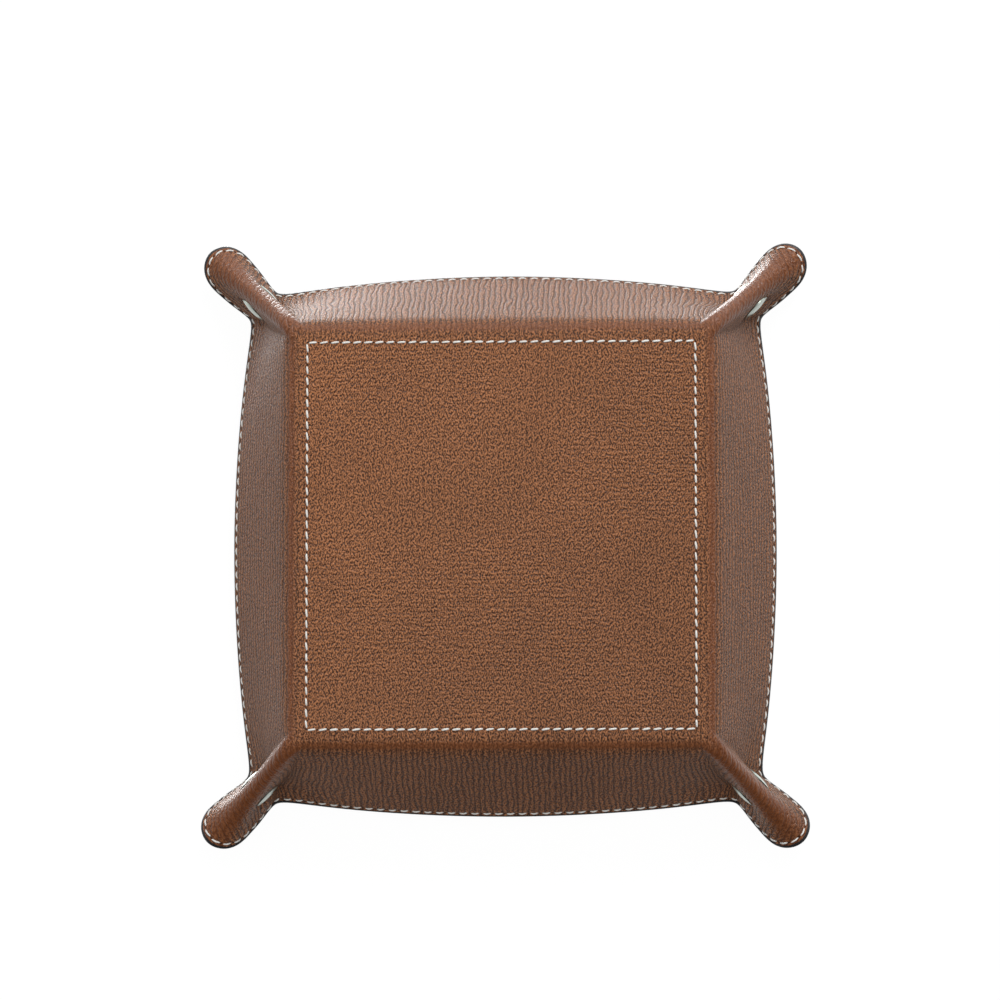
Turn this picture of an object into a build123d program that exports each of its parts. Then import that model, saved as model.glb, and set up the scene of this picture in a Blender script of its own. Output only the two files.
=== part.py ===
"""Leather valet tray: a flat square of lined leather whose four corners are
pinched outward and held by press studs, so that its sides stand up.

Units are millimetres. The tray stands on its base with its opening up. +Z is
up, the origin is the middle of the underside, and each side faces X or Y.
"""

from build123d import *

import os
from math import asin, cos, degrees, pi, radians, sin, sqrt

# Base and sides
FOLD_HALF = 78.0          # middle of the tray to the line that the sides fold on
BEND_SETBACK = 6.0        # where the fold's bend starts, before that line
SIDE_SLANT = 45.0         # fold line to rim, along the leather
WALL_ANGLE = 59.0         # a side's slope at its middle, in degrees
CORNER_WALL_ANGLE = 68.0  # the steeper slope beside an ear, in degrees
STEEPEST_SHARE = 1.2      # how far past that slope the leather may turn

# Leather
LEATHER = 1.4             # outer leather's thickness
LINING = 1.2              # lining's thickness
GLUE_LINE = 0.05          # between the two

# Stiffening board in the base, under a panel of the lining
BOARD = 1.2
BOARD_MARGIN = 2.4        # board's edge to the start of the sides' bend
BOARD_CORNER_RADIUS = 3.0
BOARD_CLEARANCE = 0.1
PANEL_EDGE_RADIUS = 0.9

# Ear: the corner of the leather, pinched along its diagonal
RIDGE_RADIUS = 2.7        # fold of the ear, at the middle of the leather
RIDGE_START = 1.2         # where the ridge leaves the base, past the fold corner
RIDGE_START_ANGLE = 50.0  # the ridge's slope at the base, in degrees
RIDGE_END_ANGLE = 23.0    # and at the ear's tip
RIDGE_CURL = 1.25         # how late along the ridge that slope changes
TIP_ROUNDING = 5.2        # what the rounded corner takes off the ridge
TIP_WIDTH_SHARE = 0.7     # part of an ear's width that this rounding reaches
TIP_ROUNDNESS = 1.2
NECK_START = 5.5          # half an ear's width along the fold line
NECK_FADE = 20.0          # how far before the fold line that width fades out
NECK_GROWTH_SHARE = 0.56  # how fast it grows up the side
SPLAY = 4.0               # how far the ear's two lips spread above the stud
SPLAY_START = 26.0        # height up the leather at which they start to spread
NECK_TUCK = 0.8           # how far the side draws in at the rim, beside the ear
NECK_SHIFT = 1.8          # how far along the rim that place moves to the ear
WALL_SWELL = 0.45         # outward swell of the rim between middle and ear
TIP_REACH = 0.6           # extra length at the shoulders of the ear's tip

# Press stud, on the middle line of each ear
STUD_TIP_RUN = 31.1       # how far down the ridge from its tip it sits
STUD_RISE = 9.0           # and how far in from the ridge
CLAMP_HALF = 2.85         # middle of the ear to the middle surface, held flat there
CLAMP_FLAT = 11.0         # how far round it the net is drawn flat
CLAMP_FADE = 7.0          # how far past that its pull fades out
SEAT_DEPTH = 0.25         # how deep its plates press into the leather
SEAT_CLEARANCE = 0.2      # round a plate
HOLE_CLEARANCE = 0.2      # round a shank
METAL_GAP = 0.05          # between metal pieces that are riveted together
MATING_GAP = 0.15         # between socket and stud when they are closed

# Cap and post, the plates on the outside of an ear
CAP_RADIUS = 5.8
CAP_EDGE = 0.45
CAP_DOME = 1.3
CAP_SHANK_RADIUS = 1.5
CLENCH_RADIUS = 2.0       # where the cap's shank is spread inside the socket
CLENCH = 0.3
POST_RADIUS = 5.2
POST_EDGE = 0.4
POST_DOME = 1.0
POST_SHANK_RADIUS = 1.1
POST_SHANK_REACH = 1.9    # how far it goes into the stud

# Socket and its spring
SOCKET_FLANGE_RADIUS = 4.6
SOCKET_FLOOR = 0.5
SOCKET_BODY_RADIUS = 3.7
SOCKET_MOUTH_RADIUS = 2.2
SOCKET_LIP = 0.4
SPRING_GROOVE_RADIUS = 2.85
SPRING_GROOVE = 0.7
SPRING_WIRE = 0.5
SPRING_RADIUS = 2.4       # middle of the wire
SPRING_GAP_ANGLE = 50.0

# Stud
STUD_FLANGE_RADIUS = 4.4
STUD_FLANGE = 0.4
STUD_NECK_RADIUS = 1.7
STUD_NECK = 0.8
STUD_HEAD_RADIUS = 1.92
STUD_HEAD = 0.9
STUD_CROWN = 0.3          # bevel at the head's top
STUD_BORE_DEPTH = 2.0

# Heights of the net's control rows: before the fold line, and up the side
SETBACK_SHARES = (-1, -0.4)
SLANT_SHARES = (0.09, 0.222, 0.422, 0.622, 0.822, 1)
# Control columns of a side, from its middle to the ear, and then of half an ear
WALL_SHARES = (0.0, 0.40, 0.72)
NECK_BACK_SHARE = 0.42
EAR_SHARES = (1.0, 0.78, 0.56, 0.34, 0.15, 0.0)
# How much of the splay and of the reach each ear column takes
SPLAY_SHARES = (0.55, 1.0, 1.0, 0.78, 1.05, 0.0)
REACH_SHARES = (-0.6, -0.5, 0.0, 0.2, 1.0, 0.35)
RIDGE_CONTROL_SHARE = 0.5
# Points of the surface that each cell of the net gives, and how close it follows them
COLUMN_SAMPLES = (8, 7, 5, 4, 4, 4, 4, 4, 4)
ROW_SAMPLES = (2, 2, 4, 5, 5, 5, 5)
NORMAL_STEP_SHARE = 0.001
FIT_TOLERANCE = 0.06

ROWS = [BEND_SETBACK * share for share in SETBACK_SHARES]
ROWS += [SIDE_SLANT * share for share in SLANT_SHARES]
RIDGE_LENGTH = sqrt(2) * SIDE_SLANT
STUD_RUN = RIDGE_LENGTH - STUD_TIP_RUN
FLAT_HALF = FOLD_HALF - BEND_SETBACK
BOARD_SIDE = 2 * (FLAT_HALF - BOARD_MARGIN)
CLAMP_REACH = CLAMP_FLAT + CLAMP_FADE
EDGE_SHARES = ((1, 1), (0, 1), (-1, 1), (-1, 0), (-1, -1), (0, -1), (1, -1), (1, 0))
CORNERS = {
    "back_right": (1, 1),
    "back_left": (-1, 1),
    "front_left": (-1, -1),
    "front_right": (1, -1),
}

# Distances from the middle of an ear, along the press stud
OUTER_SEAT = CLAMP_HALF + LEATHER - SEAT_DEPTH
INNER_SEAT = CLAMP_HALF - GLUE_LINE - LINING + SEAT_DEPTH
SOCKET_ROOF = INNER_SEAT - SOCKET_FLOOR
SOCKET_FACE = STUD_FLANGE + MATING_GAP - INNER_SEAT
SPRING_PLACE = SOCKET_FACE + SOCKET_LIP + SPRING_GROOVE / 2

os.makedirs("parts", exist_ok=True)


def ridge(run):
    """Place and slope of the ridge, in the diagonal plane, after so much leather.

    The place is (distance out from the fold corner, height)."""

    def slope(along):
        bend = max(0.0, min(1.0, along / RIDGE_LENGTH)) ** RIDGE_CURL
        return radians(RIDGE_START_ANGLE + (RIDGE_END_ANGLE - RIDGE_START_ANGLE) * bend)

    steps = 48
    step = max(run, 0.0) / steps
    slopes = [slope(step * (k + 0.5)) for k in range(steps)]
    out = RIDGE_START + step * sum(cos(a) for a in slopes)
    up = LEATHER + step * sum(sin(a) for a in slopes)
    return out, up, slope(run)


def stud_place():
    """Where the press stud's axis crosses the diagonal plane, and its slope there."""
    out, up, slope = ridge(STUD_RUN)
    return out - STUD_RISE * sin(slope), up + STUD_RISE * cos(slope), slope


STUD_OUT, STUD_UP, STUD_SLOPE = stud_place()


def from_corner(out, across, up):
    """A point given by its distance out along the diagonal and across it."""
    return Vector(FOLD_HALF + (out + across) / sqrt(2), FOLD_HALF + (out - across) / sqrt(2), up)


def clamped(place):
    """A control point, drawn in if it is where the press stud holds the ear together."""
    out = (place.X + place.Y - 2 * FOLD_HALF) / sqrt(2)
    across = (place.X - place.Y) / sqrt(2)
    away = Vector(out - STUD_OUT, across - CLAMP_HALF, place.Z - STUD_UP).length
    near = max(0.0, min(1.0, (CLAMP_REACH - away) / (CLAMP_REACH - CLAMP_FLAT)))
    pull = near**2 * (3 - 2 * near)
    return from_corner(out, across - pull * max(0.0, across - CLAMP_HALF), place.Z)


def wall_point(along, height):
    """A point of the side's middle surface, at a height along the leather."""
    if height <= 0:
        return Vector(FOLD_HALF + height, along, LEATHER)
    steeper = min((along / FOLD_HALF) ** 2, STEEPEST_SHARE) * (CORNER_WALL_ANGLE - WALL_ANGLE)
    slope = radians(WALL_ANGLE + steeper)
    return Vector(FOLD_HALF + height * cos(slope), along, LEATHER + height * sin(slope))


def ear_point(column, height, half_ear):
    """A control point of half an ear, wrapped over the ridge."""
    back = EAR_SHARES[column] * half_ear
    if height <= 0:
        return Vector(FOLD_HALF + height, FOLD_HALF + height - back, LEATHER)
    aside = back / sqrt(2)
    run = sqrt(2) * height - aside
    if height == ROWS[-1]:
        run -= TIP_ROUNDING * max(0.0, 1 - EAR_SHARES[column] / TIP_WIDTH_SHARE) ** TIP_ROUNDNESS
    out, up, slope = ridge(run)
    turn = min(aside / RIDGE_RADIUS, pi / 2)
    across = RIDGE_RADIUS * sin(turn)
    rise = RIDGE_RADIUS * (1 - cos(turn)) + max(0.0, aside - RIDGE_RADIUS * pi / 2)
    if column == len(EAR_SHARES) - 1:
        beside = EAR_SHARES[-2] * half_ear / sqrt(2) / RIDGE_RADIUS
        rise = -RIDGE_CONTROL_SHARE * RIDGE_RADIUS * (1 - cos(beside))
    spread = max(0.0, (height - SPLAY_START) / (SIDE_SLANT - SPLAY_START))
    across += SPLAY * SPLAY_SHARES[column] * spread
    out += TIP_REACH * REACH_SHARES[column] * spread - rise * sin(slope)
    return from_corner(out, across, up + rise * cos(slope))


def control_row(height):
    """Control points of half a side at one height, from its middle to the ridge."""
    half_ear = NECK_START + NECK_GROWTH_SHARE * height
    if height <= 0:
        half_ear = NECK_START * (1 + height / NECK_FADE)
    neck = FOLD_HALF + height - half_ear
    lift = (max(height, 0.0) / SIDE_SLANT) ** 2
    points = [wall_point(share * neck, height) for share in WALL_SHARES]
    points[-1] += Vector(WALL_SWELL * lift, 0, 0)
    beside = wall_point(neck - NECK_BACK_SHARE * half_ear, height)
    points.append(beside + Vector(-NECK_TUCK * lift, NECK_SHIFT * lift, 0))
    points += [ear_point(column, height, half_ear) for column in range(len(EAR_SHARES))]
    return points


def control_net():
    """The net of half a side, with a mirrored column past each end and a straight
    row past each edge."""
    rows = []
    for height in ROWS:
        row = [clamped(point) for point in control_row(height)]
        first = Vector(row[1].X, -row[1].Y, row[1].Z)
        last = Vector(row[-2].Y, row[-2].X, row[-2].Z)
        rows.append([first] + row + [last])
    below = [a * 2 - b for a, b in zip(rows[0], rows[1])]
    above = [a * 2 - b for a, b in zip(rows[-1], rows[-2])]
    return [below] + rows + [above]


NET = [[tuple(point) for point in row] for row in control_net()]


def weights(u):
    """Cubic spline weights of four control points in a row."""
    place = ((1 - u) ** 3, 3 * u**3 - 6 * u**2 + 4, -3 * u**3 + 3 * u**2 + 3 * u + 1, u**3)
    return [weight / 6 for weight in place]


# Control points, along each way, that shape one cell of the net
SPLINE_SPAN = len(weights(0))


def surface_point(row, column):
    """A point of the middle surface, by its place in the net."""
    i = min(int(row), len(NET) - SPLINE_SPAN)
    j = min(int(column), len(NET[0]) - SPLINE_SPAN)
    x = y = z = 0.0
    for a, upward in enumerate(weights(row - i)):
        for b, across in enumerate(weights(column - j)):
            control = NET[i + a][j + b]
            x += control[0] * upward * across
            y += control[1] * upward * across
            z += control[2] * upward * across
    return Vector(x, y, z)


def surface_normal(row, column):
    """The outward direction there."""
    step = NORMAL_STEP_SHARE
    along = surface_point(row, column + step) - surface_point(row, column - step)
    upward = surface_point(row + step, column) - surface_point(row - step, column)
    return along.cross(upward).normalized()


def samples(counts):
    """Every sample along one direction of the net."""
    places = [cell + k / count for cell, count in enumerate(counts) for k in range(count)]
    return places + [len(counts)]


SURFACE = [
    [(surface_point(row, column), surface_normal(row, column)) for column in samples(COLUMN_SAMPLES)]
    for row in samples(ROW_SAMPLES)
]


def offset_face(distance):
    """Half a side's surface, moved outward from the shared middle surface."""
    points = [[place + normal * distance for place, normal in line] for line in SURFACE]
    for line in points:
        line[0] = Vector(line[0].X, 0, line[0].Z)
        middle = (line[-1].X + line[-1].Y) / 2
        line[-1] = Vector(middle, middle, line[-1].Z)
    stretch = FLAT_HALF / points[0][-1].Y
    points[0] = [Vector(FLAT_HALF, p.Y * stretch, LEATHER - distance) for p in points[0]]
    return Face.make_surface_from_array_of_points(points, tol=FIT_TOLERANCE, max_deg=5)


def rim_edge(face):
    """The edge of a half side's face that runs along the rim."""
    return face.edges().sort_by(lambda edge: edge.center().X + edge.center().Z)[-1]


def layer(outer, inner):
    """One closed layer of the folded square, between two distances outward."""
    outside, inside = offset_face(outer), offset_face(inner)
    cut_edge = Face.make_surface_from_curves(rim_edge(outside), rim_edge(inside))
    half = [outside, inside, cut_edge]
    side = half + [face.mirror(Plane.XZ) for face in half]
    faces = [face.rotate(Axis.Z, 90 * turn) for turn in range(4) for face in side]
    for distance in (outer, inner):
        with BuildSketch(Plane.XY.offset(LEATHER - distance)) as flat:
            with BuildLine():
                Polyline([(x * FLAT_HALF, y * FLAT_HALF) for x, y in EDGE_SHARES], close=True)
            make_face()
        faces.append(flat.sketch.face())
    return Solid(Shell(faces))


def stud_plane(corner, side):
    """Plane in the middle of an ear whose axis runs out through the press stud.

    side is 1 towards the ear's face along X, and -1 towards its face along Y."""
    x, y = CORNERS[corner]
    reach = FOLD_HALF + STUD_OUT / sqrt(2)
    diagonal = Vector(x, y, 0).normalized()
    axis = Vector(side * x, -side * y, 0).normalized()
    along = diagonal * cos(STUD_SLOPE) + Vector(0, 0, sin(STUD_SLOPE))
    return Plane(origin=(reach * x, reach * y, STUD_UP), x_dir=along, z_dir=axis)


def section(plane):
    """Half plane through the axis, for (radius, distance from the ear's middle)."""
    return Plane(origin=plane.origin, x_dir=plane.x_dir, z_dir=plane.x_dir.cross(plane.z_dir))


def save(piece, name):
    """Label a finished piece and write it."""
    piece.part.label = name
    export_step(piece.part, f"parts/{name}.step")


# Outer leather, with a shallow seat and a hole for each plate and its shank
with BuildPart() as outer_leather:
    add(layer(LEATHER, 0.0))
    for corner in CORNERS:
        for side, plate, shank in ((1, CAP_RADIUS, CAP_SHANK_RADIUS), (-1, POST_RADIUS, POST_SHANK_RADIUS)):
            with BuildSketch(stud_plane(corner, side).offset(OUTER_SEAT)):
                Circle(plate + SEAT_CLEARANCE)
            extrude(amount=LEATHER, mode=Mode.SUBTRACT)
            with BuildSketch(stud_plane(corner, side)):
                Circle(shank + HOLE_CLEARANCE)
            extrude(amount=OUTER_SEAT, mode=Mode.SUBTRACT)
save(outer_leather, "outer_leather")

# Board, glued to the outer leather in the base
with BuildPart() as base_board:
    with BuildSketch(Plane.XY.offset(LEATHER)):
        RectangleRounded(BOARD_SIDE, BOARD_SIDE, BOARD_CORNER_RADIUS)
    extrude(amount=BOARD)
save(base_board, "base_board")

# Lining, raised over the board, with seats for the flanges inside each ear
POCKET_HALF = FLAT_HALF - BOARD_MARGIN + BOARD_CLEARANCE
POCKET_RADIUS = BOARD_CORNER_RADIUS + BOARD_CLEARANCE
with BuildPart() as panel:
    with BuildSketch(Plane.XY.offset(LEATHER + GLUE_LINE + LINING / 2)):
        RectangleRounded(2 * (POCKET_HALF + LINING), 2 * (POCKET_HALF + LINING), POCKET_RADIUS + LINING)
    extrude(amount=BOARD + LINING / 2)
    fillet(panel.faces().sort_by(Axis.Z)[-1].edges(), PANEL_EDGE_RADIUS)

with BuildPart() as lining:
    add(layer(-GLUE_LINE, -GLUE_LINE - LINING))
    add(panel.part)
    with BuildSketch(Plane.XY.offset(LEATHER)):
        RectangleRounded(2 * POCKET_HALF, 2 * POCKET_HALF, POCKET_RADIUS)
    extrude(amount=BOARD + GLUE_LINE, mode=Mode.SUBTRACT)
    for corner in CORNERS:
        for side, flange, shank in (
            (1, SOCKET_FLANGE_RADIUS, CAP_SHANK_RADIUS),
            (-1, STUD_FLANGE_RADIUS, POST_SHANK_RADIUS),
        ):
            with BuildSketch(stud_plane(corner, side)):
                Circle(flange + SEAT_CLEARANCE)
            extrude(amount=INNER_SEAT, mode=Mode.SUBTRACT)
            with BuildSketch(stud_plane(corner, side)):
                Circle(shank + HOLE_CLEARANCE)
            extrude(amount=OUTER_SEAT, mode=Mode.SUBTRACT)
save(lining, "lining")


def domed_plate(plane, radius, edge, dome, outline):
    """A plate on the outside of an ear, with the outline of its shank below it."""
    rise = dome - edge
    ball = (radius**2 + rise**2) / (2 * rise)
    arc = degrees(asin(radius / ball))
    with BuildPart() as plate:
        with BuildSketch(section(plane)):
            with BuildLine():
                CenterArc((0, OUTER_SEAT + dome - ball), ball, 90 - arc, arc)
                Polyline(
                    (0, OUTER_SEAT + dome),
                    *outline,
                    (radius, OUTER_SEAT),
                    (radius, OUTER_SEAT + edge),
                )
            make_face()
        revolve(axis=Axis(plane.origin, plane.z_dir))
    return plate


for corner in CORNERS:
    cap_side, stud_side = stud_plane(corner, 1), stud_plane(corner, -1)

    # Cap, whose shank goes through both layers and is spread inside the socket
    clench_top = SOCKET_ROOF - METAL_GAP
    shank = [
        (0, clench_top - CLENCH),
        (CLENCH_RADIUS, clench_top - CLENCH),
        (CLENCH_RADIUS, clench_top),
        (CAP_SHANK_RADIUS, clench_top),
        (CAP_SHANK_RADIUS, OUTER_SEAT),
    ]
    snap_cap = domed_plate(cap_side, CAP_RADIUS, CAP_EDGE, CAP_DOME, shank)
    save(snap_cap, f"{corner}_snap_cap")

    # Socket, a cup with a groove for its spring
    with BuildPart() as snap_socket:
        with BuildSketch(section(cap_side)):
            with BuildLine():
                groove = SOCKET_FACE + SOCKET_LIP
                Polyline(
                    (CAP_SHANK_RADIUS + METAL_GAP, INNER_SEAT),
                    (SOCKET_FLANGE_RADIUS, INNER_SEAT),
                    (SOCKET_FLANGE_RADIUS, SOCKET_ROOF),
                    (SOCKET_BODY_RADIUS, SOCKET_ROOF),
                    (SOCKET_BODY_RADIUS, SOCKET_FACE),
                    (SOCKET_MOUTH_RADIUS, SOCKET_FACE),
                    (SOCKET_MOUTH_RADIUS, groove),
                    (SPRING_GROOVE_RADIUS, groove),
                    (SPRING_GROOVE_RADIUS, groove + SPRING_GROOVE),
                    (SOCKET_MOUTH_RADIUS, groove + SPRING_GROOVE),
                    (SOCKET_MOUTH_RADIUS, SOCKET_ROOF),
                    (CAP_SHANK_RADIUS + METAL_GAP, SOCKET_ROOF),
                    close=True,
                )
            make_face()
        revolve(axis=Axis(cap_side.origin, cap_side.z_dir))
    save(snap_socket, f"{corner}_snap_socket")

    # Spring, a split ring of wire that grips the stud's head
    with BuildPart() as snap_spring:
        with BuildSketch(section(cap_side)):
            with Locations((SPRING_RADIUS, SPRING_PLACE)):
                RegularPolygon(SPRING_WIRE / 2, 4)
        revolve(axis=Axis(cap_side.origin, cap_side.z_dir), revolution_arc=360 - SPRING_GAP_ANGLE)
    save(snap_spring, f"{corner}_snap_spring")

    # Stud, whose head goes into the socket
    with BuildPart() as snap_stud:
        with BuildSketch(section(stud_side)):
            with BuildLine():
                foot = INNER_SEAT - STUD_FLANGE
                top = foot - STUD_NECK - STUD_HEAD
                Polyline(
                    (POST_SHANK_RADIUS + METAL_GAP, INNER_SEAT),
                    (STUD_FLANGE_RADIUS, INNER_SEAT),
                    (STUD_FLANGE_RADIUS, foot),
                    (STUD_NECK_RADIUS, foot),
                    (STUD_HEAD_RADIUS, foot - STUD_NECK),
                    (STUD_HEAD_RADIUS, top + STUD_CROWN),
                    (STUD_HEAD_RADIUS - STUD_CROWN, top),
                    (0, top),
                    (0, INNER_SEAT - STUD_BORE_DEPTH),
                    (POST_SHANK_RADIUS + METAL_GAP, INNER_SEAT - STUD_BORE_DEPTH),
                    close=True,
                )
            make_face()
        revolve(axis=Axis(stud_side.origin, stud_side.z_dir))
    save(snap_stud, f"{corner}_snap_stud")

    # Post, the plate that holds the stud through the leather
    shank = [
        (0, INNER_SEAT - POST_SHANK_REACH),
        (POST_SHANK_RADIUS, INNER_SEAT - POST_SHANK_REACH),
        (POST_SHANK_RADIUS, OUTER_SEAT),
    ]
    snap_post = domed_plate(stud_side, POST_RADIUS, POST_EDGE, POST_DOME, shank)
    save(snap_post, f"{corner}_snap_post")
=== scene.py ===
# %% [markdown]
# # A leather valet tray, seen from below
# A valet tray is a flat square of lined leather. Its four corners are pinched outward into ears,
# and a press stud through each ear keeps it pinched, so that the sides stand up. The picture shows
# the underside: the base faces the camera, and the sides slope away behind it. Every length is in
# metres, +Z is up, and the underside lies at z = 0.
#
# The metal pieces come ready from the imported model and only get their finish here. The leather, the
# lining, the painted edge and the thread are made as meshes, because their look lies in soft bends
# and small detail.

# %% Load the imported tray
import random
from bisect import bisect_left
from math import asin, cos, pi, radians, sin, sqrt

import bmesh
import bpy
from mathutils import Matrix, Vector


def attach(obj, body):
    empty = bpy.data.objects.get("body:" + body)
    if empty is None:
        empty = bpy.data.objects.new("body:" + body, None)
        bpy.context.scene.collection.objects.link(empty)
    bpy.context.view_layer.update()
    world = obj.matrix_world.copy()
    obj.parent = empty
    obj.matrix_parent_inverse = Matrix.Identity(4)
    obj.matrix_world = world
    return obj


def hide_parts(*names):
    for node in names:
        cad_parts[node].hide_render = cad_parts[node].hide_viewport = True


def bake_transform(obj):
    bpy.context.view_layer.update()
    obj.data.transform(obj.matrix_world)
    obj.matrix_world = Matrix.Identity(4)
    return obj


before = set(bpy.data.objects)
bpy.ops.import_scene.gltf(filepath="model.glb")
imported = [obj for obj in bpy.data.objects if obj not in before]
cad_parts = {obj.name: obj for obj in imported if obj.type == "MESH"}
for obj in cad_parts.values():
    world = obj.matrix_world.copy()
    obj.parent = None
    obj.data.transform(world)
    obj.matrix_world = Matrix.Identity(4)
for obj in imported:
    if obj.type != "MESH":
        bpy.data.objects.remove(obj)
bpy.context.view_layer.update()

random.seed(7)

# %% [markdown]
# ## Sizes of the folded sheet
# These are the tray's own sizes, from the fold line of the sides to the press studs. The surface is
# a net of control points, as a pattern maker would draw it: rows run up the side, columns run from
# a side's middle to the ridge of an ear.

# %% Sizes
# The flat sheet, its folded sides, its two layers and the board between them
FOLD_HALF = 0.078
BEND_SETBACK = 0.006
SIDE_SLANT = 0.045
WALL_ANGLE = 59.0
CORNER_WALL_ANGLE = 68.0
STEEPEST_SHARE = 1.2
LEATHER = 0.0014
LINING = 0.0012
GLUE_LINE = 0.00005
BOARD = 0.0012
PANEL_HALF = 0.0709
PANEL_RADIUS = 0.0043

# The ridge of an ear, its round tip, and its neck beside the wall
RIDGE_RADIUS = 0.0020
RIDGE_START = 0.0012
RIDGE_START_ANGLE = 50.0
RIDGE_END_ANGLE = 23.0
RIDGE_CURL = 1.25
TIP_ROUNDING = 0.0052
TIP_WIDTH_SHARE = 0.7
TIP_ROUNDNESS = 1.2
NECK_START = 0.0055
NECK_FADE = 0.020
NECK_GROWTH_SHARE = 0.56
# How far an ear's flanks lean out, in degrees, and how much wider they open at the tip
LEAN = 14.0
OPENING = 16.0
OPENING_START = 0.042
OPENING_END = 0.051
SPLAY = 0.0036
SPLAY_START = 0.026
NECK_TUCK = -0.0026
NECK_SHIFT = 0.0018
WALL_SWELL = 0.00045
TIP_REACH = 0.0010

# The press stud, and how far round it the ear is drawn together
STUD_TIP_RUN = 0.0311
STUD_RISE = 0.009
CLAMP_HALF = 0.00285
CLAMP_FLAT = 0.011
CLAMP_REACH = 0.018
SEAT_DEPTH = 0.00025

# Where the rows and columns of the net lie, as shares of a length
SETBACK_SHARES = (-1, -0.35)
SLANT_SHARES = (0.055, 0.165, 0.39, 0.622, 0.822, 1)
WALL_SHARES = (0.0, 0.40, 0.72)
NECK_BACK_SHARE = 0.42
EAR_SHARES = (1.0, 0.78, 0.56, 0.34, 0.15, 0.0)
SPLAY_SHARES = (0.0, 0.0, 0.3, 1.0, 0.9, 0.0)
REACH_SHARES = (-0.6, -0.5, 0.0, 0.2, 1.0, 0.35)
RIDGE_CONTROL_SHARE = 0.5

ROWS = [BEND_SETBACK * share for share in SETBACK_SHARES]
ROWS += [SIDE_SLANT * share for share in SLANT_SHARES]
FLAT_HALF = FOLD_HALF - BEND_SETBACK
RIDGE_LENGTH = sqrt(2) * SIDE_SLANT
print("flat sheet:", round(2000 * (FOLD_HALF + SIDE_SLANT)), "mm square")


# %% A soft step
def smooth(share):
    """A step from 0 to 1 that starts and ends softly."""
    share = max(0.0, min(1.0, share))
    return share**2 * (3 - 2 * share)


print("a quarter along a soft step:", smooth(0.25))

# %% [markdown]
# ## The ridge of an ear
# Where a corner is pinched, the sheet folds along its diagonal. This fold rises steeply from the
# base and then flattens towards the tip, so its slope changes along the way. Adding up short steps
# gives its place.

# %% Ridge and press stud places
RIDGE_STEPS = 48


def ridge(run):
    """(distance out from the fold corner, height, slope) after so much leather."""
    def slope(along):
        bend = max(0.0, min(1.0, along / RIDGE_LENGTH)) ** RIDGE_CURL
        return radians(RIDGE_START_ANGLE + (RIDGE_END_ANGLE - RIDGE_START_ANGLE) * bend)

    step = max(run, 0.0) / RIDGE_STEPS
    slopes = [slope(step * (k + 0.5)) for k in range(RIDGE_STEPS)]
    out = RIDGE_START + step * sum(cos(a) for a in slopes)
    up = LEATHER + step * sum(sin(a) for a in slopes)
    return out, up, slope(run)


HINGE_OUT, HINGE_UP, HINGE_SLOPE = ridge(RIDGE_LENGTH - STUD_TIP_RUN)
STUD_OUT = HINGE_OUT - STUD_RISE * sin(HINGE_SLOPE)
STUD_UP = HINGE_UP + STUD_RISE * cos(HINGE_SLOPE)
print("stud at", round(STUD_OUT, 5), round(STUD_UP, 5))

# %% [markdown]
# ## The net of half a side
# One half of one side is enough, because the other seven are mirrored and turned copies. Each
# control point also keeps its place on the flat sheet, before folding. The leather's grain is laid
# out on the flat sheet, as the tanner embossed it, and the folding then bends and pinches it as it
# does on the real tray.
#
# Seen along its ridge, an ear is a narrow V. Its two flanks lean out from a small round at the
# ridge, and they open wider at the tip, like a spoon. The press stud draws them together where it
# sits.

# %% Control points
def from_corner(out, across, up):
    """A place measured from the fold's corner: out on the diagonal, across it, and up."""
    return Vector((FOLD_HALF + (out + across) / sqrt(2), FOLD_HALF + (out - across) / sqrt(2), up))


def clamped(place):
    """A control point, drawn in where the press stud holds the ear together."""
    out = (place.x + place.y - 2 * FOLD_HALF) / sqrt(2)
    across = (place.x - place.y) / sqrt(2)
    away = Vector((out - STUD_OUT, across - CLAMP_HALF, place.z - STUD_UP)).length
    pull = smooth((CLAMP_REACH - away) / (CLAMP_REACH - CLAMP_FLAT))
    return from_corner(out, across - pull * max(0.0, across - CLAMP_HALF), place.z)


def wall_point(along, height):
    """A point of the plain wall, or of the base where the height is below the fold."""
    if height <= 0:
        return Vector((FOLD_HALF + height, along, LEATHER))
    steeper = min((along / FOLD_HALF) ** 2, STEEPEST_SHARE) * (CORNER_WALL_ANGLE - WALL_ANGLE)
    slope = radians(WALL_ANGLE + steeper)
    return Vector((FOLD_HALF + height * cos(slope), along, LEATHER + height * sin(slope)))


def tip_cut(column, height):
    """What the rounded corner of the sheet takes off the ridge."""
    if height < ROWS[-1]:
        return 0.0
    return TIP_ROUNDING * max(0.0, 1 - EAR_SHARES[column] / TIP_WIDTH_SHARE) ** TIP_ROUNDNESS


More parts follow.
